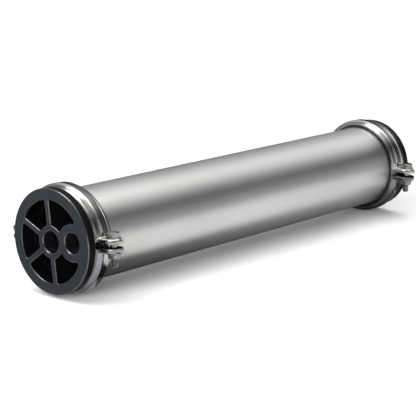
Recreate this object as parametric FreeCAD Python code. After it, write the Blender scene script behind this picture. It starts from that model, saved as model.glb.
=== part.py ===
import FreeCAD, Part
import math
import os

# A four inch membrane pressure vessel, lying along X with the middle of its axis at the origin.
# Every size is in millimetres and every angle in degrees.
# The left end is at -X and the right end at +X, the front is the -Y side and the back the +Y side.

# Steel tube that holds the membrane element
tube_length = 558.3
tube_outer_radius = 52.5
tube_wall = 2.0
tube_end_chamfer = 0.6

# Clamp sheet, pressed to a channel with a curled lip along each edge
# Each reach is measured along X from the middle of the clamp; the lip next to the cap is the wider one
sheet_thickness = 1.8
valley_to_tube = 4.7
channel_depth = 5.0
shoulder_reach = 6.6
shoulder_bend = 5.0
valley_reach = 9.7
tube_lip_reach = 11.7
cap_lip_reach = 13.2
lip_slope = 0.6
split_gap = 5.4
split_corner_radius = 8.0
left_clamp_turn = 3.3
right_clamp_turn = -2.6

# Clamp ears
bolt_to_crest = 10.4
ear_half_width = 10.6
ear_depth = 5.5
ear_edge_radius = 3.2
ear_blend_radius = 3.0

# Bolts, nuts and washers
bolt_radius = 4.0
bolt_hole_radius = 4.5
bolt_tail = 9.9
bolt_end_chamfer = 0.8
head_height = 5.3
hex_across_flats = 13.0
hex_turn = 41.0
nut_height = 5.0
nut_gap = 0.1
washer_thickness = 1.0
washer_radius = 8.0

# Moulded end cap: outer disc, groove for the clamp, gripped flange and plug
cap_disc_overhang = 0.3
cap_disc_thickness = 10.0
cap_edge_chamfer = 0.8
cap_flange_thickness = 3.6
rim_to_crest = 1.4
disc_to_lip_gap = 0.8
clamp_grip_gap = 0.25
clamp_root_gap = 0.5
plug_length = 26.0
plug_gap = 0.3
plug_lead_chamfer = 1.5
cap_turn = 7.0

# Face of the end cap: pockets between a rim, four ribs and two port bosses
face_rim_width = 12.8
pocket_depth = 19.0
plug_wall = 8.7
cap_floor_thickness = 9.0
pocket_corner_radius = 2.4
face_edge_chamfer = 0.5
rib_width = 6.2
rib_angles = [90.0, 150.0, 210.0, 270.0]
centre_boss_wall = 6.3
side_boss_wall = 9.7
side_port_to_edge = 25.8

# Threaded ports in the two bosses
centre_port_radius = 12.2
side_port_radius = 11.3
port_depth = 18.0
port_mouth_chamfer = 1.0
centre_passage_radius = 8.0
side_passage_radius = 7.5

# Rubber ring round the plug
cap_seal_thickness = 3.4
cap_seal_depth = 10.0
seal_gap = 0.1
seal_groove_side_gap = 0.3

# Permeate adapter that joins the cap's centre port to the membrane element
adapter_socket_depth = 16.0
adapter_socket_gap = 0.2
adapter_outer_radius = 12.0
adapter_wall = 2.4
adapter_reach = 18.0
adapter_collar_width = 2.0
adapter_collar_thickness = 3.0
adapter_seal_thickness = 1.8
adapter_seal_depth = 8.0

# Gap for the weld between the tube and the turned ring that the clamp grips
end_ring_weld_gap = 0.05

# How far a cut runs past the face it opens
overrun = 1.0

x_axis = FreeCAD.Vector(1, 0, 0)
y_axis = FreeCAD.Vector(0, 1, 0)
z_axis = FreeCAD.Vector(0, 0, 1)
origin = FreeCAD.Vector(0, 0, 0)

# Radii that follow the tube's
valley_radius = tube_outer_radius + valley_to_tube
crest_radius = valley_radius + channel_depth
bolt_circle_radius = crest_radius + bolt_to_crest
cap_flange_radius = crest_radius - sheet_thickness - rim_to_crest
end_ring_rim_radius = cap_flange_radius
cap_outer_radius = cap_flange_radius + cap_disc_overhang
rim_inner_radius = cap_outer_radius - face_rim_width
side_port_distance = cap_outer_radius - side_port_to_edge
centre_boss_radius = centre_port_radius + centre_boss_wall
side_boss_radius = side_port_radius + side_boss_wall


# Outer radius of a lip at its edge
def lip_radius(reach):
    return valley_radius + (reach - valley_reach) * lip_slope


# Outer line of the clamp's section, from the cap's lip to the tube's, as (place along X, radius, bend radius)
def clamp_path():
    return [
        (-cap_lip_reach, lip_radius(cap_lip_reach), 0), (-valley_reach, valley_radius, 0),
        (-shoulder_reach, crest_radius, shoulder_bend), (shoulder_reach, crest_radius, shoulder_bend),
        (valley_reach, valley_radius, 0), (tube_lip_reach, lip_radius(tube_lip_reach), 0),
    ]


# Same open path, moved inwards by a sheet thickness, with sharp corners inside the bends
def inner_path(path, thickness):
    shifted = []
    for i in range(len(path) - 1):
        run = path[i + 1][0] - path[i][0]
        rise = path[i + 1][1] - path[i][1]
        length = math.hypot(run, rise)
        shift = (rise / length * thickness, -run / length * thickness)
        shifted.append((path[i][0] + shift[0], path[i][1] + shift[1], run / length, rise / length))
    moved = [(shifted[0][0], shifted[0][1], 0)]
    for i in range(1, len(shifted)):
        x1, z1, dx1, dz1 = shifted[i - 1]
        x2, z2, dx2, dz2 = shifted[i]
        along = ((x2 - x1) * dz2 - (z2 - z1) * dx2) / (dx1 * dz2 - dz1 * dx2)
        moved.append((x1 + dx1 * along, z1 + dz1 * along, 0))
    last = path[-1]
    x, z, dx, dz = shifted[-1]
    rest = (last[0] - x) * dx + (last[1] - z) * dz
    moved.append((x + dx * rest, z + dz * rest, 0))
    return moved


# Lines of the clamp channel that the cap and the end ring are shaped to
flank_run = valley_reach - shoulder_reach
flank_rise = crest_radius - valley_radius
flank_length = math.hypot(flank_run, flank_rise)
flank_angle = math.atan2(flank_rise, flank_run)
crest_flat_reach = shoulder_reach - shoulder_bend * math.tan(flank_angle / 2)
grip_offset = (sheet_thickness + clamp_grip_gap) * flank_length / flank_rise
inner_valley_radius = inner_path(clamp_path(), sheet_thickness)[1][1]
root_radius = inner_valley_radius - clamp_root_gap
ear_top = split_gap / 2 + ear_depth
head_seat = ear_top + washer_thickness
bolt_length = 2 * head_seat + nut_height + bolt_tail


# Distance from the middle of the clamp to the gripped cone at a radius
def cone_reach(radius):
    return valley_reach - grip_offset - (radius - valley_radius) * flank_run / flank_rise


# Places along X from the outer face of a cap
clamp_place = cap_disc_thickness + disc_to_lip_gap + cap_lip_reach
cap_seat = clamp_place - cone_reach(cap_flange_radius) + cap_flange_thickness
plug_end = cap_seat + plug_length
pocket_floor = plug_end - cap_floor_thickness
half_length = tube_length / 2 + cap_seat


# Start, middle and end of the arc that rounds a corner between two straight runs
def corner_arc(before, corner, after, radius):
    to_before = (before - corner).normalize()
    to_after = (after - corner).normalize()
    half_angle = to_before.getAngle(to_after) / 2
    tangent = radius / math.tan(half_angle)
    bisector = (to_before + to_after).normalize()
    middle = corner + bisector * (radius / math.sin(half_angle) - radius)
    return corner + to_before * tangent, middle, corner + to_after * tangent


# Closed face in the XZ plane through corners given as (x, height, bend radius)
def outline_face(corners):
    points = [FreeCAD.Vector(x, 0, height) for x, height, bend in corners]
    count = len(points)
    spans = []
    edges = []
    for i in range(count):
        bend = corners[i][2]
        if bend > 0:
            span = corner_arc(points[i - 1], points[i], points[(i + 1) % count], bend)
            edges.append(Part.Arc(*span).toShape())
        else:
            span = (points[i], points[i], points[i])
        spans.append(span)
    for i in range(count):
        leave = spans[i][2]
        arrive = spans[(i + 1) % count][0]
        if leave.distanceToPoint(arrive) > 1e-6:
            edges.append(Part.makeLine(leave, arrive))
    return Part.Face(Part.Wire(Part.__sortEdges__(edges)))


# Solid turned about the X axis from an outline
def turned(corners):
    return outline_face(corners).revolve(origin, x_axis, 360)


def cylinder(radius, start, end, y=0.0, z=0.0):
    return Part.makeCylinder(radius, end - start, FreeCAD.Vector(start, y, z), x_axis)


# Edges that run straight along an axis
def edges_along(shape, axis):
    found = []
    for edge in shape.Edges:
        if isinstance(edge.Curve, Part.Line) and abs(edge.Curve.Direction.dot(axis)) > 0.999:
            found.append(edge)
    return found


# Square-cut rubber ring round the X axis
def seal_ring(middle, outer_radius, thickness):
    blank = cylinder(outer_radius, middle - thickness / 2, middle + thickness / 2)
    return blank.cut(cylinder(outer_radius - thickness, middle - thickness, middle + thickness))


# Tube

def vessel_tube():
    outer = tube_outer_radius
    inner = tube_outer_radius - tube_wall
    end = tube_length / 2
    chamfer = tube_end_chamfer
    return turned([
        (-end, inner + chamfer, 0), (-end, outer, 0),
        (end, outer, 0), (end, inner + chamfer, 0),
        (end - chamfer, inner, 0), (chamfer - end, inner, 0),
    ])


# End ring, in cap places
def end_ring():
    inner = tube_outer_radius + end_ring_weld_gap
    rim_end = clamp_place + cone_reach(end_ring_rim_radius)
    root_end = clamp_place + cone_reach(root_radius)
    return turned([
        (cap_seat, inner, 0), (cap_seat, end_ring_rim_radius, 0), (rim_end, end_ring_rim_radius, 0),
        (root_end, root_radius, 0), (root_end, inner, 0),
    ])


# End cap

cap_seal_outer = tube_outer_radius - tube_wall - seal_gap
cap_seal_place = cap_seat + cap_seal_depth
plug_radius = tube_outer_radius - tube_wall - plug_gap
deep_pocket_radius = plug_radius - plug_wall
adapter_end = plug_end - adapter_socket_depth


# Corners of a square groove, from its low X side to its high X side
def seal_groove(middle, outer_radius, thickness, wall_radius):
    half = thickness / 2 + seal_groove_side_gap
    bottom = outer_radius - thickness - seal_gap
    return [
        (middle - half, wall_radius, 0), (middle - half, bottom, 0),
        (middle + half, bottom, 0), (middle + half, wall_radius, 0),
    ]


def cap_body():
    flange_root = clamp_place - cone_reach(root_radius)
    flange_rim = clamp_place - cone_reach(cap_flange_radius)
    groove = seal_groove(cap_seal_place, cap_seal_outer, cap_seal_thickness, plug_radius)
    return turned([
        (0, 0, 0), (0, cap_outer_radius - cap_edge_chamfer, 0), (cap_edge_chamfer, cap_outer_radius, 0),
        (cap_disc_thickness, cap_outer_radius, 0), (cap_disc_thickness, root_radius, 0),
        (flange_root, root_radius, 0), (flange_rim, cap_flange_radius, 0),
        (cap_seat, cap_flange_radius, 0), (cap_seat, plug_radius, 0), *groove,
        (plug_end - plug_lead_chamfer, plug_radius, 0), (plug_end, plug_radius - plug_lead_chamfer, 0),
        (plug_end, 0, 0),
    ])


# Pockets of the cap, left between the rim, the ribs and the bosses
def pocket_stage(kept, radius, start, end):
    stage = cylinder(radius, start, end).cut(kept)
    return stage.makeFillet(pocket_corner_radius, edges_along(stage, x_axis))


def cap_pockets():
    kept = cylinder(centre_boss_radius, -2 * overrun, plug_end)
    kept = kept.fuse(cylinder(side_boss_radius, -2 * overrun, plug_end, y=-side_port_distance))
    for angle in rib_angles:
        rib = Part.makeBox(plug_end + 2 * overrun, rib_width, cap_outer_radius)
        rib.translate(FreeCAD.Vector(-2 * overrun, -rib_width / 2, 0))
        rib.rotate(origin, x_axis, 90 - angle)
        kept = kept.fuse(rib)
    shallow = pocket_stage(kept, rim_inner_radius, -overrun, pocket_depth)
    deep = pocket_stage(kept, deep_pocket_radius, pocket_depth - overrun, pocket_floor)
    return shallow.fuse(deep)


# Stepped hole of a port: chamfered mouth, threaded length and passage
def port_hole(radius, passage_radius, passage_end, y):
    mouth = radius + port_mouth_chamfer
    hole = turned([
        (-overrun, 0, 0), (-overrun, mouth + overrun, 0), (port_mouth_chamfer, radius, 0),
        (port_mouth_chamfer + port_depth, radius, 0), (port_mouth_chamfer + port_depth, passage_radius, 0),
        (passage_end, passage_radius, 0), (passage_end, 0, 0),
    ])
    hole.translate(FreeCAD.Vector(0, y, 0))
    return hole


# Edges of the pockets on the outer face of the cap
def face_edges(cap):
    found = []
    for edge in cap.Edges:
        box = edge.BoundBox
        reach = max(abs(box.YMin), abs(box.YMax), abs(box.ZMin), abs(box.ZMax))
        flat = box.XMax < 1e-4 and box.XMin > -1e-4
        if flat and reach < rim_inner_radius + overrun:
            found.append(edge)
    return found


def end_cap():
    cap = cap_body()
    cap = cap.cut(cap_pockets())
    cap = cap.makeChamfer(face_edge_chamfer, face_edges(cap))
    cap = cap.cut(port_hole(centre_port_radius, centre_passage_radius, adapter_end + overrun, 0))
    cap = cap.cut(port_hole(side_port_radius, side_passage_radius, plug_end + overrun, -side_port_distance))
    socket_radius = adapter_outer_radius + adapter_socket_gap
    return cap.cut(cylinder(socket_radius, adapter_end, plug_end + overrun))


# Permeate adapter

adapter_seal_outer = adapter_outer_radius + adapter_socket_gap - seal_gap
adapter_seal_place = plug_end - adapter_seal_depth


def permeate_adapter():
    bore = adapter_outer_radius - adapter_wall
    collar = adapter_outer_radius + adapter_collar_width
    start = adapter_end + adapter_socket_gap
    end = plug_end + adapter_reach
    collar_end = plug_end + adapter_collar_thickness
    groove = seal_groove(adapter_seal_place, adapter_seal_outer, adapter_seal_thickness, adapter_outer_radius)
    return turned([
        (start, bore, 0), (start, adapter_outer_radius, 0), *groove,
        (plug_end, adapter_outer_radius, 0), (plug_end, collar, 0),
        (collar_end, collar, 0), (collar_end, adapter_outer_radius, 0),
        (end, adapter_outer_radius, 0), (end, bore, 0),
    ])


# Clamp half, with the middle of the clamp at x = 0, the cap towards -X and the split plane at z = 0

# Tongue of an ear, from inside the clamp ring to a round end about the bolt
def ear_tongue(half_width, inner_end, low, high):
    near = FreeCAD.Vector(-half_width, -bolt_circle_radius, low)
    far = FreeCAD.Vector(half_width, -bolt_circle_radius, low)
    tip = FreeCAD.Vector(0, -bolt_circle_radius - half_width, low)
    near_root = FreeCAD.Vector(-half_width, -inner_end, low)
    far_root = FreeCAD.Vector(half_width, -inner_end, low)
    edges = [
        Part.makeLine(near_root, near), Part.Arc(near, tip, far).toShape(),
        Part.makeLine(far, far_root), Part.makeLine(far_root, near_root),
    ]
    return Part.Face(Part.Wire(edges)).extrude(z_axis * (high - low))


# Same tongue with its top edge rounded
def rounded_tongue(half_width, inner_end, low, high):
    tongue = ear_tongue(half_width, inner_end, low, high)
    top_edges = []
    for edge in tongue.Edges:
        box = edge.BoundBox
        if box.ZMin > high - 1e-4 and box.YMin < -inner_end - 1e-4:
            top_edges.append(edge)
    return tongue.makeFillet(ear_edge_radius, top_edges)


# Fillet between the flat top of an ear and the crest of the ring
def ear_blend():
    reach = crest_radius + ear_blend_radius
    middle_z = ear_top + ear_blend_radius
    middle = FreeCAD.Vector(0, -math.sqrt(reach ** 2 - middle_z ** 2), middle_z)
    inward = (origin - middle).normalize()
    on_ring = middle + inward * ear_blend_radius
    on_ear = middle - z_axis * ear_blend_radius
    between = middle + (inward - z_axis).normalize() * ear_blend_radius
    buried = FreeCAD.Vector(0, on_ring.y, ear_top - sheet_thickness / 2)
    edges = [
        Part.Arc(on_ring, between, on_ear).toShape(), Part.makeLine(on_ear, buried),
        Part.makeLine(buried, on_ring),
    ]
    blend = Part.Face(Part.Wire(edges)).extrude(x_axis * 2 * crest_flat_reach)
    blend.translate(FreeCAD.Vector(-crest_flat_reach, 0, 0))
    return blend


# Wedge that rounds the corner where the ring's edge turns out along the ear
def split_corner():
    radius = split_corner_radius
    middle_z = split_gap / 2 + radius
    middle_y = -math.sqrt((inner_valley_radius + radius) ** 2 - middle_z ** 2)
    middle = FreeCAD.Vector(0, middle_y, middle_z)
    inward = (origin - middle).normalize()
    top = middle + inward * radius
    foot = middle - z_axis * radius
    between = middle + (inward - z_axis).normalize() * radius
    depth = split_gap
    deep_top = top + FreeCAD.Vector(0, depth, 0)
    deep_foot = FreeCAD.Vector(0, deep_top.y, foot.z - overrun)
    low_foot = foot - z_axis * overrun
    edges = [
        Part.Arc(top, between, foot).toShape(), Part.makeLine(foot, low_foot),
        Part.makeLine(low_foot, deep_foot), Part.makeLine(deep_foot, deep_top),
        Part.makeLine(deep_top, top),
    ]
    half = cap_lip_reach + overrun
    wedge = Part.Face(Part.Wire(edges)).extrude(x_axis * 2 * half)
    wedge.translate(FreeCAD.Vector(-half, 0, 0))
    return wedge


def mirrored_y(shape):
    return shape.mirror(origin, y_axis)


def clamp_half():
    path = clamp_path()
    inner = inner_path(path, sheet_thickness)
    floor = root_radius - split_corner_radius
    outer_ring = turned(path + [(tube_lip_reach, floor, 0), (-cap_lip_reach, floor, 0)])
    # The inner line is drawn on past the lips so that they keep their full thickness
    run = inner[1][0] - inner[0][0]
    rise = inner[1][1] - inner[0][1]
    reach = cap_lip_reach + 2 * overrun
    height = inner[0][1] - rise / run * (inner[0][0] + reach)
    inner[0] = (-reach, height, 0)
    inner[-1] = (reach, height, 0)
    inner_ring = turned(inner + [(reach, floor - overrun, 0), (-reach, floor - overrun, 0)])
    tongue = rounded_tongue(ear_half_width, valley_radius - sheet_thickness, -overrun, ear_top)
    hollow = ear_tongue(ear_half_width - sheet_thickness, floor, -2 * overrun, ear_top - sheet_thickness)
    hole = Part.makeCylinder(bolt_hole_radius, 2 * ear_depth,
                             FreeCAD.Vector(0, -bolt_circle_radius, ear_top - ear_depth), z_axis)
    corner = split_corner()
    outer = outer_ring.fuse([tongue, mirrored_y(tongue)])
    sheet = outer.cut([inner_ring, hollow, mirrored_y(hollow)])
    blend = ear_blend()
    sheet = sheet.fuse([blend, mirrored_y(blend)])
    size = 4 * bolt_circle_radius
    below = Part.makeBox(size, size, size, FreeCAD.Vector(-size / 2, -size / 2, split_gap / 2 - size))
    return sheet.cut([below, corner, mirrored_y(corner), hole, mirrored_y(hole)])


# Fasteners, standing upright with their bearing face at z = 0

def hex_block(height):
    corner = hex_across_flats / math.sqrt(3)
    points = []
    for i in range(7):
        angle = math.radians(hex_turn + 60 * i)
        points.append(FreeCAD.Vector(corner * math.cos(angle), corner * math.sin(angle), 0))
    return Part.Face(Part.makePolygon(points)).extrude(z_axis * height)


def clamp_bolt():
    shank = Part.makeCylinder(bolt_radius, bolt_length, FreeCAD.Vector(0, 0, -bolt_length), z_axis)
    end_edges = [edge for edge in shank.Edges if edge.BoundBox.ZMax < 1e-4 - bolt_length]
    shank = shank.makeChamfer(bolt_end_chamfer, end_edges)
    return hex_block(head_height).fuse(shank).removeSplitter()


def clamp_nut():
    bore = Part.makeCylinder(bolt_radius + nut_gap, nut_height, origin, z_axis)
    nut = hex_block(nut_height).cut(bore)
    nut.translate(FreeCAD.Vector(0, 0, -nut_height))
    return nut


def washer():
    disc = Part.makeCylinder(washer_radius, washer_thickness, origin, z_axis)
    return disc.cut(Part.makeCylinder(bolt_hole_radius, washer_thickness, origin, z_axis))


# Placing

# A shape in cap places, moved to the left or the right end
def at_end(shape, side):
    placed = shape.copy()
    placed.translate(FreeCAD.Vector(-half_length, 0, 0))
    if side == "right":
        placed.rotate(origin, z_axis, 180)
    return placed


# A shape of a clamp, turned about the vessel's axis and moved to an end
def at_clamp(shape, side):
    placed = shape.copy()
    if side == "left":
        placed.rotate(origin, x_axis, -left_clamp_turn)
        placed.translate(FreeCAD.Vector(clamp_place - half_length, 0, 0))
    else:
        placed.rotate(origin, z_axis, 180)
        placed.rotate(origin, x_axis, -right_clamp_turn)
        placed.translate(FreeCAD.Vector(half_length - clamp_place, 0, 0))
    return placed


# The same fastener on the front and on the back bolt axis, at heights above the split
def on_bolts(shape, heights):
    placed = []
    for y in [-bolt_circle_radius, bolt_circle_radius]:
        for height in heights:
            fastener = shape.copy()
            fastener.translate(FreeCAD.Vector(0, y, height))
            placed.append(fastener)
    return Part.makeCompound(placed)


def turned_cap(shape):
    placed = shape.copy()
    placed.rotate(origin, x_axis, -cap_turn)
    return placed


upper_half = clamp_half()
end_shapes = {
    "end_ring": end_ring(),
    "end_cap": turned_cap(end_cap()),
    "cap_seal": seal_ring(cap_seal_place, cap_seal_outer, cap_seal_thickness),
    "permeate_adapter": permeate_adapter(),
    "adapter_seal": seal_ring(adapter_seal_place, adapter_seal_outer, adapter_seal_thickness),
}
clamp_shapes = {
    "clamp_upper": upper_half,
    "clamp_lower": upper_half.mirror(origin, z_axis),
    "clamp_bolts": on_bolts(clamp_bolt(), [head_seat]),
    "clamp_nuts": on_bolts(clamp_nut(), [-head_seat]),
    "clamp_washers": on_bolts(washer(), [ear_top, -head_seat]),
}

pieces = {"vessel_tube": vessel_tube()}
for side in ["left", "right"]:
    for name, shape in end_shapes.items():
        pieces[side + "_" + name] = at_end(shape, side)
    for name, shape in clamp_shapes.items():
        pieces[side + "_" + name] = at_clamp(shape, side)

os.makedirs("parts", exist_ok=True)
for name, shape in pieces.items():
    shape.exportStep("parts/" + name + ".step")
    print(name, shape.isValid(), len(shape.Solids), round(shape.Volume))
print("length", round(2 * half_length, 2))
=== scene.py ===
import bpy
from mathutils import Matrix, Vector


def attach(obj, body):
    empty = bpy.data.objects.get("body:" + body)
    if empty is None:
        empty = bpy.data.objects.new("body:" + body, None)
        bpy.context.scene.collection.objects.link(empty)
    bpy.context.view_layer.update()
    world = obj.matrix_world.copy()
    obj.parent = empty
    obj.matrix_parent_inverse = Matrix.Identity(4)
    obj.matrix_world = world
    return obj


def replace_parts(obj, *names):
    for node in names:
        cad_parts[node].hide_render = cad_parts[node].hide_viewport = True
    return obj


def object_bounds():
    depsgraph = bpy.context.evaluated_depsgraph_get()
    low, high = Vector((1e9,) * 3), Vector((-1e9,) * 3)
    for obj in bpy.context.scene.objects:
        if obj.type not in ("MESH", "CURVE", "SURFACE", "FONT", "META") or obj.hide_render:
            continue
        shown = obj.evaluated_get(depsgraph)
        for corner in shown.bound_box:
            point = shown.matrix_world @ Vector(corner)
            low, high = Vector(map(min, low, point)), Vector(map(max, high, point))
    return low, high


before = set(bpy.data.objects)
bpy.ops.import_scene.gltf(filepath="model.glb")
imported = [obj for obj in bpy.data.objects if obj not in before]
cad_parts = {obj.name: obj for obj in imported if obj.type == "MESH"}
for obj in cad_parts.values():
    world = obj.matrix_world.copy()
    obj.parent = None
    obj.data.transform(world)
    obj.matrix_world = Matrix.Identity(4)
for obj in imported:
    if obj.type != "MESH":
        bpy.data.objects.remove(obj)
cadLow, cadHigh = [list(corner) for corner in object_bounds()]

import bpy
import bmesh
import math
from mathutils import Matrix, Vector

# A stainless steel housing for a membrane element, lying on a pale studio floor
# Its axis runs along X, the near end cap is at low X and the clamps' bolts stand on both sides
# Lengths are in millimetres unless a note says metres, and become metres where they are used

mm = 0.001


# From an sRGB hex value to the linear colour that Blender works in
def linear(hexColour):
    value = hexColour.lstrip("#")
    out = []
    for i in (0, 2, 4):
        part = int(value[i:i + 2], 16) / 255
        out.append(part / 12.92 if part <= 0.04045 else ((part + 0.055) / 1.055) ** 2.4)
    return (*out, 1.0)


# Adds a node; a setting is one of the node's own, an unlinked input, or the stops of a ramp
def addNode(tree, kind, settings=None, links=None):
    node = tree.nodes.new(kind)
    for name, value in (settings or {}).items():
        if name == "stops":
            setStops(node.color_ramp, value)
        elif isinstance(name, str) and hasattr(node, name):
            setattr(node, name, value)
        else:
            node.inputs[name].default_value = value
    for name, source in (links or {}).items():
        tree.links.new(source, node.inputs[name])
    return node


def setStops(ramp, stops):
    while len(ramp.elements) < len(stops):
        ramp.elements.new(0.5)
    for element, (place, colour) in zip(ramp.elements, stops):
        element.position = place
        element.color = colour


def newMaterial(name):
    material = bpy.data.materials.new(name)
    material.use_nodes = True
    tree = material.node_tree
    tree.nodes.clear()
    shader = addNode(tree, "ShaderNodeBsdfPrincipled")
    output = addNode(tree, "ShaderNodeOutputMaterial")
    tree.links.new(shader.outputs["BSDF"], output.inputs["Surface"])
    return material, tree, shader


# Mixes what a shader's input has so far towards another value, by a mask
def blendInput(tree, shader, name, mask, value):
    old = shader.inputs[name]
    kind = "RGBA" if old.type == "RGBA" else "FLOAT"
    # The Mix node's sockets for a colour, or for a number: first value, second value, result
    first, second, result = (6, 7, 2) if kind == "RGBA" else (2, 3, 0)
    mix = addNode(tree, "ShaderNodeMix", {"data_type": kind, second: value}, {0: mask})
    if old.is_linked:
        tree.links.new(old.links[0].from_socket, mix.inputs[first])
    else:
        mix.inputs[first].default_value = old.default_value
    tree.links.new(mix.outputs[result], old)


# One beyond the given distance (metres) from the vessel's middle along X, nought nearer
def beyondMask(tree, place, reach):
    parts = addNode(tree, "ShaderNodeSeparateXYZ", links={"Vector": place})
    distance = addNode(tree, "ShaderNodeMath", {"operation": "ABSOLUTE"}, {0: parts.outputs["X"]})
    mask = addNode(tree, "ShaderNodeMath", {"operation": "GREATER_THAN", 1: reach}, {0: distance.outputs[0]})
    return mask.outputs[0]


# A noise pattern seldom leaves this middle part of its range
noiseRange = (0.35, 0.65)


# A slow change of shade, from the dark colour to the light one, on a cloud pattern of the given size
def mottle(tree, shader, place, look):
    cloud = addNode(tree, "ShaderNodeTexNoise", {
        "Scale": 1 / (look["cloudSize"] * mm),
        "Detail": look["cloudDetail"],
    }, {"Vector": place}).outputs["Fac"]
    stops = list(zip(noiseRange, (linear(look["dark"]), linear(look["light"]))))
    colour = addNode(tree, "ShaderNodeValToRGB", {"stops": stops}, {"Fac": cloud})
    tree.links.new(colour.outputs["Color"], shader.inputs["Base Color"])
    return cloud


# Roughness between two levels follows one pattern, and the fine relief follows another
def texture(tree, shader, look, roughnessPattern, reliefPattern):
    smoothest, roughest = look["roughness"]
    level = addNode(tree, "ShaderNodeMapRange", {
        "To Min": smoothest,
        "To Max": roughest,
    }, {"Value": roughnessPattern})
    tree.links.new(level.outputs["Result"], shader.inputs["Roughness"])
    bump = addNode(tree, "ShaderNodeBump", {
        "Strength": look["reliefStrength"],
        "Distance": look["reliefDepth"] * mm,
    }, {"Height": reliefPattern})
    tree.links.new(bump.outputs["Normal"], shader.inputs["Normal"])
    return bump


# Stainless steel, brushed with an abrasive belt while the piece turned: fine scratches run round it and
# spread each light across the tube, so its lights and shades are long soft bands along it
# The real scratches are too fine to show here, so they are drawn 0.5 mm wide
satinTube = {
    "light": "#C6C5C4",
    "dark": "#BFBEBC",
    "cloudSize": 160.0,
    "cloudDetail": 2.0,
    "roughness": (0.34, 0.42),
    "scratchWidth": 0.5,
    "scratchLength": 40.0,
    "scratchDetail": 3.0,
    "scratchFade": 0.6,
    "reliefStrength": 0.6,
    "reliefDepth": 0.0005,
    "brushing": 0.75,
    "brushingTurn": 0.25,
    # Painted shade where the clamps meet the tube: where it starts from the middle, and its colour
    "creaseReach": 265.3,
    "crease": "#6C6A68",
}


def turnedSteel(name, look):
    material, tree, shader = newMaterial(name)
    place = addNode(tree, "ShaderNodeTexCoord").outputs["Object"]
    across = 1 / (look["scratchWidth"] * mm)
    along = 1 / (look["scratchLength"] * mm)
    squeezed = addNode(tree, "ShaderNodeMapping", {"Scale": (across, along, along)}, {"Vector": place})
    scratches = addNode(tree, "ShaderNodeTexNoise", {
        "Scale": 1.0,
        "Detail": look["scratchDetail"],
        "Roughness": look["scratchFade"],
    }, {"Vector": squeezed.outputs["Vector"]}).outputs["Fac"]
    mottle(tree, shader, place, look)
    texture(tree, shader, look, scratches, scratches)
    # The brush went round the vessel's axis
    roundAxis = addNode(tree, "ShaderNodeTangent", {"direction_type": "RADIAL", "axis": "X"})
    tree.links.new(roundAxis.outputs["Tangent"], shader.inputs["Tangent"])
    shader.inputs["Anisotropic"].default_value = look["brushing"]
    shader.inputs["Anisotropic Rotation"].default_value = look["brushingTurn"]
    shader.inputs["Metallic"].default_value = 1.0
    # Painted shade: from where the clamps' lips end, outwards, the tube is painted darker for the shade in
    # the gap where the clamps meet it
    paintedShadeMask = beyondMask(tree, place, look["creaseReach"] * mm)
    blendInput(tree, shader, "Base Color", paintedShadeMask, linear(look["crease"]))
    return material


# Stainless steel sheet, pressed to shape and then buffed: it mirrors the room in bright and dark streaks,
# a little broken by draw marks some 3 mm wide, and its bends have no crisp line
pressedSheet = {
    "light": "#BCBBB9",
    "dark": "#ADABA9",
    "cloudSize": 25.0,
    "cloudDetail": 3.0,
    "roughness": (0.12, 0.18),
    "grainSize": 3.0,
    "grainDetail": 4.0,
    "reliefStrength": 0.5,
    "reliefDepth": 0.003,
    "softBend": 3.0,
    "softBendSamples": 8,
}

# The lower halves are the same sheet painted a shade darker and cooler, as painted shade on the halves that
# face the floor, the right one at the far end darker still
shadedLowerSheet = dict(pressedSheet, light="#A6A7AA", dark="#98999D")
moreShadedLowerSheet = dict(pressedSheet, light="#7A7A7D", dark="#6C6C6F")

# Stainless steel bolts, nuts and washers, machined and tumbled: duller and warmer than the sheet, with
# small cloudy patches
plainFastener = {
    "light": "#9A9895",
    "dark": "#807D7A",
    "cloudSize": 6.0,
    "cloudDetail": 3.0,
    "roughness": (0.14, 0.24),
    "grainSize": 1.2,
    "grainDetail": 4.0,
    "reliefStrength": 0.5,
    "reliefDepth": 0.004,
}


# A grained surface: clouds change its colour and roughness, and a finer noise is its relief
def grainedSurface(name, look):
    material, tree, shader = newMaterial(name)
    place = addNode(tree, "ShaderNodeTexCoord").outputs["Object"]
    grain = addNode(tree, "ShaderNodeTexNoise", {
        "Scale": 1 / (look["grainSize"] * mm),
        "Detail": look["grainDetail"],
    }, {"Vector": place}).outputs["Fac"]
    cloud = mottle(tree, shader, place, look)
    bump = texture(tree, shader, look, cloud, grain)
    return material, tree, shader, place, bump


def pressedSteel(name, look):
    material, tree, shader, _, bump = grainedSurface(name, look)
    if "softBend" in look:
        bend = addNode(tree, "ShaderNodeBevel", {
            "samples": look["softBendSamples"],
            "Radius": look["softBend"] * mm,
        })
        tree.links.new(bend.outputs["Normal"], bump.inputs["Normal"])
    shader.inputs["Metallic"].default_value = 1.0
    return material


# Glass filled nylon of the end caps, injection moulded and black: its outer face is painted a shade greyer
# than its sides and pockets, as painted light on the face that the lamps fall on, and its moulded edges are
# a little rounded, so they catch a thin line of light
# The real grain is finer than the 0.6 mm drawn here, which is the least that shows
mouldedCap = {
    "light": "#09090B",
    "dark": "#070708",
    "cloudSize": 30.0,
    "cloudDetail": 3.0,
    "roughness": (0.34, 0.42),
    "grainSize": 0.6,
    "grainDetail": 2.0,
    "reliefStrength": 0.5,
    "reliefDepth": 0.012,
    "sheen": 0.09,
    "edgeRound": 1.9,
    "edgeSamples": 6,
    "edgeLean": (0.06, 0.2),
    "edgeSheen": 2.2,
    "edgeRoughness": 0.19,
    "edgeDepth": 12.0,
    # Painted light: the outer face's greyer colour, and how far in from the face it reaches
    "face": "#222429",
    "faceReach": 0.35,
}

# The same nylon where a tap has cut the ports' threads: matt, and almost black in the shade of the bore
threadPlastic = {
    "light": "#09090B",
    "dark": "#060607",
    "cloudSize": 10.0,
    "cloudDetail": 3.0,
    "roughness": (0.3, 0.38),
    "grainSize": 0.6,
    "grainDetail": 2.0,
    "reliefStrength": 0.5,
    "reliefDepth": 0.008,
    "sheen": 0.1,
}

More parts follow.
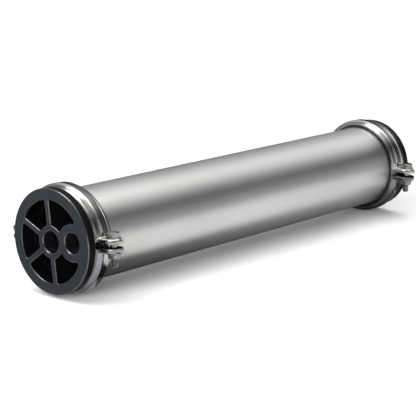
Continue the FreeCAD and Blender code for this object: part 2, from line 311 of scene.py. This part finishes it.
# Polypropylene of the sleeves that take the element's core tube, moulded smooth: dark grey and half glossy
smoothAdapter = {
    "light": "#2A2A2C",
    "dark": "#202022",
    "cloudSize": 12.0,
    "cloudDetail": 3.0,
    "roughness": (0.28, 0.34),
    "grainSize": 1.0,
    "grainDetail": 2.0,
    "reliefStrength": 0.5,
    "reliefDepth": 0.005,
    "sheen": 0.5,
}

# Nitrile rubber of the rings, pressed and cured in a mould: dull, even and nearly black
sealRubber = {
    "light": "#1C1C1D",
    "dark": "#151516",
    "cloudSize": 8.0,
    "cloudDetail": 3.0,
    "roughness": (0.55, 0.65),
    "grainSize": 0.4,
    "grainDetail": 2.0,
    "reliefStrength": 0.5,
    "reliefDepth": 0.01,
    "sheen": 0.5,
}

plasticIor = 1.5


def mouldedPlastic(name, look):
    material, tree, shader, place, bump = grainedSurface(name, look)
    shader.inputs["IOR"].default_value = plasticIor
    shader.inputs["Specular IOR Level"].default_value = look["sheen"]
    if "edgeRound" in look:
        roundMouldedEdges(tree, shader, place, bump, look)
    # Painted light: the outer face is painted greyer than the rest of the cap
    if "face" in look:
        litFaceMask = beyondMask(tree, place, cadHigh[0] - look["faceReach"] * mm)
        blendInput(tree, shader, "Base Color", litFaceMask, linear(look["face"]))
    return material


# Rounded edges near the cap's outer face: where the rounded normal leans between along and across the axis,
# the edge is smoother and shinier
def roundMouldedEdges(tree, shader, place, bump, look):
    edge = addNode(tree, "ShaderNodeBevel", {
        "samples": look["edgeSamples"],
        "Radius": look["edgeRound"] * mm,
    })
    tree.links.new(edge.outputs["Normal"], bump.inputs["Normal"])
    lean = addNode(tree, "ShaderNodeSeparateXYZ", links={"Vector": edge.outputs["Normal"]}).outputs["X"]
    square = addNode(tree, "ShaderNodeMath", {"operation": "MULTIPLY"}, {0: lean, 1: lean}).outputs[0]
    rest = addNode(tree, "ShaderNodeMath", {"operation": "SUBTRACT", 0: 1.0}, {1: square}).outputs[0]
    both = addNode(tree, "ShaderNodeMath", {"operation": "MULTIPLY"}, {0: square, 1: rest}).outputs[0]
    least, full = look["edgeLean"]
    edges = addNode(tree, "ShaderNodeMapRange", {"From Min": least, "From Max": full}, {"Value": both})
    outer = beyondMask(tree, place, cadHigh[0] - look["edgeDepth"] * mm)
    mask = addNode(tree, "ShaderNodeMath", {"operation": "MULTIPLY"}, {0: edges.outputs["Result"], 1: outer})
    blendInput(tree, shader, "Roughness", mask.outputs[0], look["edgeRoughness"])
    blendInput(tree, shader, "Specular IOR Level", mask.outputs[0], look["edgeSheen"])


# One finish for each kind of piece, the same at both ends, apart from the clamps' lower halves
# The end rings are turned on a lathe, whose fine marks run round them as the tube's brushing does, and they
# share its painted shade where the clamps meet it
finishes = {
    "vessel_tube": turnedSteel("satinTubeSteel", satinTube),
    "end_ring": turnedSteel("turnedRingSteel", satinTube),
    "clamp_upper": pressedSteel("pressedClampSteel", pressedSheet),
    "clamp_bolts": pressedSteel("fastenerSteel", plainFastener),
    "end_cap": mouldedPlastic("mouldedCapPlastic", mouldedCap),
    "permeate_adapter": mouldedPlastic("adapterPlastic", smoothAdapter),
    "cap_seal": mouldedPlastic("sealRubber", sealRubber),
}
# Painted shade: the lower halves get the darker copies of the sheet
finishes["left_clamp_lower"] = pressedSteel("leftLowerClampSteel", shadedLowerSheet)
finishes["right_clamp_lower"] = pressedSteel("rightLowerClampSteel", moreShadedLowerSheet)
finishes["clamp_nuts"] = finishes["clamp_bolts"]
finishes["clamp_washers"] = finishes["clamp_bolts"]
finishes["adapter_seal"] = finishes["cap_seal"]

for nodeName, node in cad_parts.items():
    kind = nodeName.replace("left_", "").replace("right_", "")
    node.data.materials.clear()
    node.data.materials.append(finishes.get(nodeName) or finishes[kind])
print("CAD nodes finished:", len(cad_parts))


# Points nearer than these are one: in a turned blank, in a part of a piece, and in a finished piece
# Edges sharper than the angle, in degrees, stay crisp
meshing = {
    "turnedWeld": 0.001,
    "partWeld": 0.0005,
    "pieceWeld": 0.0001,
    "cutTolerance": 0.0001,
    "crispAngle": 32,
}


def mergeAndFaceOut(shape, distance):
    bmesh.ops.remove_doubles(shape, verts=shape.verts, dist=distance * mm)
    bmesh.ops.recalc_face_normals(shape, faces=shape.faces)


# An object at the origin with its place in its mesh
def newObject(shape, name):
    data = bpy.data.meshes.new(name)
    shape.to_mesh(data)
    shape.free()
    piece = bpy.data.objects.new(name, data)
    bpy.context.scene.collection.objects.link(piece)
    return piece


def finishPiece(shape, name, material):
    mergeAndFaceOut(shape, meshing["pieceWeld"])
    piece = newObject(shape, name)
    piece.data.shade_smooth()
    piece.data.set_sharp_from_angle(angle=math.radians(meshing["crispAngle"]))
    piece.data.materials.append(material)
    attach(piece, "root")
    return piece


# Solid turned about Z from corners given as (radius, height); a closed outline makes a ring
def lathe(shape, profile, steps, closed=False):
    corners = [shape.verts.new((radius * mm, 0, height * mm)) for radius, height in profile]
    following = corners[1:] + corners[:1] if closed else corners[1:]
    edges = [shape.edges.new(pair) for pair in zip(corners, following)]
    bmesh.ops.spin(shape, geom=corners + edges, cent=(0, 0, 0), axis=(0, 0, 1), angle=math.tau, steps=steps,
                   use_merge=True)
    bmesh.ops.remove_doubles(shape, verts=shape.verts, dist=meshing["turnedWeld"] * mm)


# Six flats cut on a turned blank, as on a machined nut; the turned chamfers end in curved lines on the flats
def cutFlats(shape, acrossFlats, turn):
    flatCount = 6
    flatAngle = 360 / flatCount
    for side in range(flatCount):
        angle = math.radians(turn + (side + 0.5) * flatAngle)
        outward = Vector((math.cos(angle), math.sin(angle), 0))
        everything = shape.verts[:] + shape.edges[:] + shape.faces[:]
        cut = bmesh.ops.bisect_plane(shape, geom=everything, dist=meshing["cutTolerance"] * mm,
                                     plane_co=outward * acrossFlats / 2 * mm, plane_no=outward,
                                     clear_outer=True)
        rim = [item for item in cut["geom_cut"] if isinstance(item, bmesh.types.BMEdge)]
        bmesh.ops.holes_fill(shape, edges=rim)


# Half the width of a thread's rib at its root and at its crest, as shares of the pitch
threadRib = {"root": 0.46, "crest": 0.07}


# A closed rib of a screw thread, wound about Z; a crest nearer the axis than the root makes an inner thread
def windThread(shape, root, crest, low, high, pitch, stepsPerTurn):
    turns = (high - low) / pitch - 1
    steps = round(turns * stepsPerTurn)
    middle = low + pitch / 2
    rib = [(root, -threadRib["root"]), (crest, -threadRib["crest"]),
           (crest, threadRib["crest"]), (root, threadRib["root"])]
    start = [shape.verts.new((radius * mm, 0, (middle + share * pitch) * mm)) for radius, share in rib]
    bmesh.ops.spin(shape, geom=[shape.faces.new(start)], cent=(0, 0, 0), axis=(0, 0, 1),
                   dvec=(0, 0, turns * pitch / steps * mm), angle=math.tau * turns, steps=steps)


# Where the clamps' bolts stand, as in the CAD model: the clamp's middle along X, its turn about X in
# degrees, the distance of the bolts from the axis, and the seats of the heads and nuts above and below it
clampSeat = {
    "reach": 276.58,
    "turns": {"left": -3.3, "right": 2.6},
    "circle": 72.6,
    "headSeat": 9.2,
}

# M8 hexagon bolts and nuts: the hexagon's turn in degrees, the flat top of a head as a radius, how much
# the chamfer falls for each millimetre outwards, and how far the shank stands up into the head
boltShape = {
    "acrossFlats": 13.0,
    "hexTurn": 41.0,
    "hexSteps": 96,
    "headHeight": 5.3,
    "headTop": 5.9,
    "chamferSlope": 0.5,
    "neck": 0.35,
    "radius": 3.96,
    "shankSteps": 48,
    "length": 33.3,
    "plainLength": 12.4,
    "threadRoot": 3.36,
    "threadSink": 0.03,
    "threadRunOut": 0.5,
    "threadSteps": 40,
    "pitch": 1.25,
    "tip": 0.9,
    "tipChamfer": 0.5,
    "tipThreadGap": 0.25,
    "nutHeight": 5.0,
    "nutMouth": 4.45,
}


def hexBlank(shape, low, high, isNut):
    corner = boltShape["acrossFlats"] / math.sqrt(3)
    drop = (corner - boltShape["headTop"]) * boltShape["chamferSlope"]
    top = [(corner, high - drop), (boltShape["headTop"], high)]
    if isNut:
        bottom = [(boltShape["headTop"], low), (corner, low + drop)]
        bore = boltShape["radius"]
        mouth = boltShape["nutMouth"]
        slope = mouth - bore
        inside = [(mouth, high), (bore, high - slope), (bore, low + slope), (mouth, low)]
        lathe(shape, bottom + top + inside, boltShape["hexSteps"], closed=True)
    else:
        lathe(shape, [(0, low), (corner, low)] + top + [(0, high)], boltShape["hexSteps"])
    cutFlats(shape, boltShape["acrossFlats"], boltShape["hexTurn"])


def boltParts():
    head = bmesh.new()
    hexBlank(head, 0, boltShape["headHeight"], isNut=False)
    shank = bmesh.new()
    radius = boltShape["radius"]
    root = boltShape["threadRoot"]
    plainEnd = -boltShape["plainLength"]
    end = -boltShape["length"]
    lathe(shank, [
        (0, boltShape["neck"]), (radius, boltShape["neck"]), (radius, plainEnd),
        (root, plainEnd - boltShape["threadRunOut"]), (root, boltShape["tip"] + end),
        (root - boltShape["tipChamfer"], end), (0, end),
    ], boltShape["shankSteps"])
    thread = bmesh.new()
    windThread(thread, root - boltShape["threadSink"], radius, boltShape["tipThreadGap"] + end, plainEnd,
               boltShape["pitch"], boltShape["threadSteps"])
    return [head, shank, thread]


def nutParts():
    nut = bmesh.new()
    hexBlank(nut, -boltShape["nutHeight"], 0, isNut=True)
    return [nut]


# Parts in one bmesh, each merged and turned outwards by itself first
def gathered(parts):
    whole = bmesh.new()
    for part in parts:
        mergeAndFaceOut(part, meshing["partWeld"])
        data = bpy.data.meshes.new("part")
        part.to_mesh(data)
        part.free()
        whole.from_mesh(data)
        bpy.data.meshes.remove(data)
    return whole


# Copies of one shape at several places, joined in one piece
def placedCopies(shape, places):
    single = bpy.data.meshes.new("single")
    shape.to_mesh(single)
    shape.free()
    row = bmesh.new()
    for place in places:
        before = len(row.verts)
        row.from_mesh(single)
        row.verts.ensure_lookup_table()
        bmesh.ops.transform(row, matrix=place, verts=row.verts[before:])
    bpy.data.meshes.remove(single)
    return row


# The places of the two bolts of one clamp, on the front and back sides, at a height over its parting line
def onBolts(side, height):
    sign = -1 if side == "left" else 1
    middle = Matrix.Translation((sign * clampSeat["reach"] * mm, 0, 0))
    tilt = Matrix.Rotation(math.radians(clampSeat["turns"][side]), 4, "X")
    out = clampSeat["circle"] * mm
    return [middle @ tilt @ Matrix.Translation((0, way * out, height * mm)) for way in (-1, 1)]


for side in ("left", "right"):
    bolts = placedCopies(gathered(boltParts()), onBolts(side, clampSeat["headSeat"]))
    nuts = placedCopies(gathered(nutParts()), onBolts(side, -clampSeat["headSeat"]))
    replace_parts(finishPiece(bolts, side + "_bolts", finishes["clamp_bolts"]), side + "_clamp_bolts")
    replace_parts(finishPiece(nuts, side + "_nuts", finishes["clamp_bolts"]), side + "_clamp_nuts")
print("bolts and nuts made")


# Inner threads of the ports in the caps: each port's bore radius and distance from the cap's middle, the
# cap's turn in degrees, and where the thread starts and ends, counted inwards from the cap's outer face
portThreads = {
    "ports": {"centre": (12.2, 0.0), "side": (11.3, 33.5)},
    "capTurn": 7.0,
    "depth": 1.05,
    "sink": 0.05,
    "pitch": 1.81,
    "steps": 72,
    "start": 1.1,
    "end": 17.6,
}

threadMaterial = mouldedPlastic("portThreadPlastic", threadPlastic)
for side in ("left", "right"):
    # A thread is wound about Z, laid along X at the low end, and turned half round for the other end
    inwards = Matrix.Rotation(math.radians(90), 4, "Y") @ Matrix.Translation((0, 0, cadLow[0]))
    capTurn = Matrix.Rotation(math.radians(-portThreads["capTurn"]), 4, "X")
    facing = Matrix.Rotation(0 if side == "left" else math.pi, 4, "Z")
    for portName, (radius, offset) in portThreads["ports"].items():
        thread = bmesh.new()
        windThread(thread, radius + portThreads["sink"], radius - portThreads["depth"], portThreads["start"],
                   portThreads["end"], portThreads["pitch"], portThreads["steps"])
        aside = Matrix.Translation((0, -offset * mm, 0))
        bmesh.ops.transform(thread, matrix=facing @ capTurn @ aside @ inwards, verts=thread.verts)
        finishPiece(thread, side + "_" + portName + "_thread", threadMaterial)
print("port threads made")


# The floor, lights and cards are in metres

# Opal acrylic, the cast and matted top of a light table: white, even, and faintly lit from below
floorLook = {"colour": "#E9E9E9", "roughness": 0.6, "glow": 0.06, "glowColour": "#FFFFFF", "size": 24.0}
floorHeight = cadLow[2]

floorShape = bmesh.new()
bmesh.ops.create_grid(floorShape, x_segments=1, y_segments=1, size=floorLook["size"] / 2)
bmesh.ops.translate(floorShape, verts=floorShape.verts, vec=(0, 0, floorHeight))
studioFloor = newObject(floorShape, "studio_floor")
floorMaterial, _, floorShader = newMaterial("lightTableTop")
floorShader.inputs["Base Color"].default_value = linear(floorLook["colour"])
floorShader.inputs["Roughness"].default_value = floorLook["roughness"]
floorShader.inputs["Emission Color"].default_value = linear(floorLook["glowColour"])
floorShader.inputs["Emission Strength"].default_value = floorLook["glow"]
studioFloor.data.materials.append(floorMaterial)

# Light from all round, as a smooth ring of tones about the vessel's axis, times a tone for how far it comes
# from one end or the other
# Each ring tone is (degrees up from the horizon in front, strength)
ringTones = [
    (-180, 1.0), (-90, 1.0), (-20, 1.0), (8, 0.72), (24, 0.4), (42, 0.12), (54, 0.42), (70, 1.55), (88, 2.5),
    (105, 1.7), (125, 0.85), (150, 0.42), (165, 0.28), (180, 0.28),
]
# Each end tone is (share of the way towards +X, strength)
endTones = [
    (-1.0, 0.12), (-0.86, 0.2), (-0.74, 0.5), (-0.5, 0.3), (-0.36, 0.45), (-0.2, 1.1), (0.45, 1.4),
    (0.56, 1.15), (0.64, 0.35), (0.7, 0.12), (0.8, 0.12), (0.9, 0.8), (1.0, 1.3),
]


# Grey tones along a range, as shares of the strongest one
def toneRamp(tree, factor, low, high, tones):
    strongest = max(strength for place, strength in tones)
    share = addNode(tree, "ShaderNodeMapRange", {"From Min": low, "From Max": high}, {"Value": factor})
    stops = []
    for place, strength in tones:
        grey = strength / strongest
        stops.append(((place - low) / (high - low), (grey, grey, grey, 1)))
    ramp = addNode(tree, "ShaderNodeValToRGB", {"stops": stops}, {"Fac": share.outputs["Result"]})
    return ramp.outputs["Color"], strongest


def wrapStudio():
    world = bpy.data.worlds.new("studioAir")
    world.use_nodes = True
    tree = world.node_tree
    tree.nodes.clear()
    direction = addNode(tree, "ShaderNodeTexCoord").outputs["Generated"]
    parts = addNode(tree, "ShaderNodeSeparateXYZ", links={"Vector": direction}).outputs
    front = addNode(tree, "ShaderNodeMath", {"operation": "MULTIPLY", 1: -1.0}, {0: parts["Y"]}).outputs[0]
    angle = addNode(tree, "ShaderNodeMath", {"operation": "ARCTAN2"}, {0: parts["Z"], 1: front}).outputs[0]
    degrees = addNode(tree, "ShaderNodeMath", {"operation": "DEGREES"}, {0: angle}).outputs[0]
    ring, ringTop = toneRamp(tree, degrees, -180, 180, ringTones)
    ends, endTop = toneRamp(tree, parts["X"], -1, 1, endTones)
    both = addNode(tree, "ShaderNodeVectorMath", {"operation": "MULTIPLY"}, {0: ring, 1: ends})
    air = addNode(tree, "ShaderNodeBackground", {"Strength": ringTop * endTop}, {"Color": both.outputs[0]})
    addNode(tree, "ShaderNodeOutputWorld", links={"Surface": air.outputs["Background"]})
    bpy.context.scene.world = world


wrapStudio()
bpy.context.scene.view_settings.view_transform = "Standard"

# Rectangular softboxes: where each stands, what it aims at, its two sides, its watts, and whether the steel
# mirrors it
softboxes = {
    "backSoftbox": {
        "place": (-0.95, 0.37, 1.3),
        "aim": (-0.3, 0, 0),
        "sides": (0.8, 0.9),
        "power": 12,
        "mirrored": True,
    },
    "leftFill": {
        "place": (-1.55, -0.65, 0.4),
        "aim": (-0.3, 0, -0.03),
        "sides": (1.0, 0.8),
        "power": 31,
        "mirrored": False,
    },
    "farFloorLight": {
        "place": (2.6, 2.3, 1.6),
        "aim": (2.6, 2.3, 0),
        "sides": (3.5, 3.5),
        "power": 60,
        "mirrored": False,
    },
}

for lightName, box in softboxes.items():
    data = bpy.data.lights.new(lightName, "AREA")
    data.shape = "RECTANGLE"
    data.size, data.size_y = box["sides"]
    data.energy = box["power"]
    lamp = bpy.data.objects.new(lightName, data)
    lamp.location = box["place"]
    lamp.rotation_euler = (Vector(box["place"]) - Vector(box["aim"])).to_track_quat("Z", "Y").to_euler()
    lamp.visible_glossy = box["mirrored"]
    bpy.context.scene.collection.objects.link(lamp)

# Cards laid just over the floor, which only the polished steel sees: painted shade for the darker floor and
# surroundings in its reflections; their shades at low and high X, how far they reach along X and across Y,
# and how many millimetres they lie over the floor
shadeCards = {
    "left_card": {
        "shades": ("#B8B8B8", "#B8B8B8"), "along": (-0.9, -0.27), "across": (-0.5, -0.02), "lift": 0.7,
    },
    "left_back_card": {
        "shades": ("#484848", "#484848"), "along": (-0.8, -0.32), "across": (-0.02, 0.36), "lift": 0.7,
    },
    "streak_card": {
        "shades": ("#101010", "#101010"), "along": (-0.272, -0.23), "across": (-0.165, -0.05), "lift": 1.0,
    },
    "under_card": {
        "shades": ("#6A6A6A", "#C4C4C4"), "along": (-0.26, 0.26), "across": (-0.072, 0.055), "lift": 0.7,
    },
    "far_foot_card": {
        "shades": ("#8C8E92", "#6E7074"), "along": (0.265, 0.32), "across": (-0.09, 0.055), "lift": 1.0,
    },
    "right_card": {
        "shades": ("#3C3E42", "#606266"), "along": (0.325, 0.7), "across": (-0.105, 0.06), "lift": 0.7,
    },
}
cardRoughness = 0.9


# Painted shade on a quite matt card that throws no gloss of its own, graded from one grey to another along X
def paintedShadeCard(name, shades, along):
    material, tree, shader = newMaterial(name)
    place = addNode(tree, "ShaderNodeTexCoord").outputs["Object"]
    x = addNode(tree, "ShaderNodeSeparateXYZ", links={"Vector": place}).outputs["X"]
    share = addNode(tree, "ShaderNodeMapRange", {"From Min": along[0], "From Max": along[1]}, {"Value": x})
    stops = [(0.0, linear(shades[0])), (1.0, linear(shades[1]))]
    shade = addNode(tree, "ShaderNodeValToRGB", {"stops": stops}, {"Fac": share.outputs["Result"]})
    tree.links.new(shade.outputs["Color"], shader.inputs["Base Color"])
    shader.inputs["Roughness"].default_value = cardRoughness
    return material


def layCard(name, card):
    lowX, highX = card["along"]
    lowY, highY = card["across"]
    middle = ((lowX + highX) / 2, (lowY + highY) / 2, floorHeight + card["lift"] * mm)
    shape = bmesh.new()
    # A grid of this size is one metre wide
    bmesh.ops.create_grid(shape, x_segments=1, y_segments=1, size=0.5)
    bmesh.ops.scale(shape, verts=shape.verts, vec=(highX - lowX, highY - lowY, 1))
    bmesh.ops.translate(shape, verts=shape.verts, vec=middle)
    piece = newObject(shape, name)
    piece.data.materials.append(paintedShadeCard(name + "Paper", card["shades"], card["along"]))
    piece.visible_camera = False
    piece.visible_shadow = False
    piece.visible_diffuse = False


for cardName, card in shadeCards.items():
    layCard(cardName, card)
print("floor, lights and cards ready")


# A long lens from the left, a little above the vessel: its angles in degrees round from the front and up,
# its focal length and sensor's width, and how far it stands back, aside and above from the middle of the
# near cap's face; only the farthest thing that it sees is in metres
viewpoint = {
    "turn": 48.67,
    "rise": 12.85,
    "lens": 126.07,
    "sensor": 36.0,
    "distance": 1573.1,
    "aside": 170.0,
    "above": 37.0,
    "farthest": 60.0,
}
turn = math.radians(viewpoint["turn"])
rise = math.radians(viewpoint["rise"])
rightward = Vector((math.cos(turn), -math.sin(turn), 0))
backward = Vector((-math.sin(turn) * math.cos(rise), -math.cos(turn) * math.cos(rise), math.sin(rise)))
upward = backward.cross(rightward)
offset = rightward * viewpoint["aside"] + upward * viewpoint["above"] + backward * viewpoint["distance"]
eye = Vector((cadLow[0], 0, 0)) + offset * mm

cameraData = bpy.data.cameras.new("photoCamera")
cameraData.lens = viewpoint["lens"]
cameraData.sensor_width = viewpoint["sensor"]
cameraData.clip_end = viewpoint["farthest"]
camera = bpy.data.objects.new("photoCamera", cameraData)
camera.matrix_world = Matrix.Translation(eye) @ Matrix((rightward, upward, backward)).transposed().to_4x4()
bpy.context.scene.collection.objects.link(camera)
bpy.context.scene.camera = camera
print("camera ready")
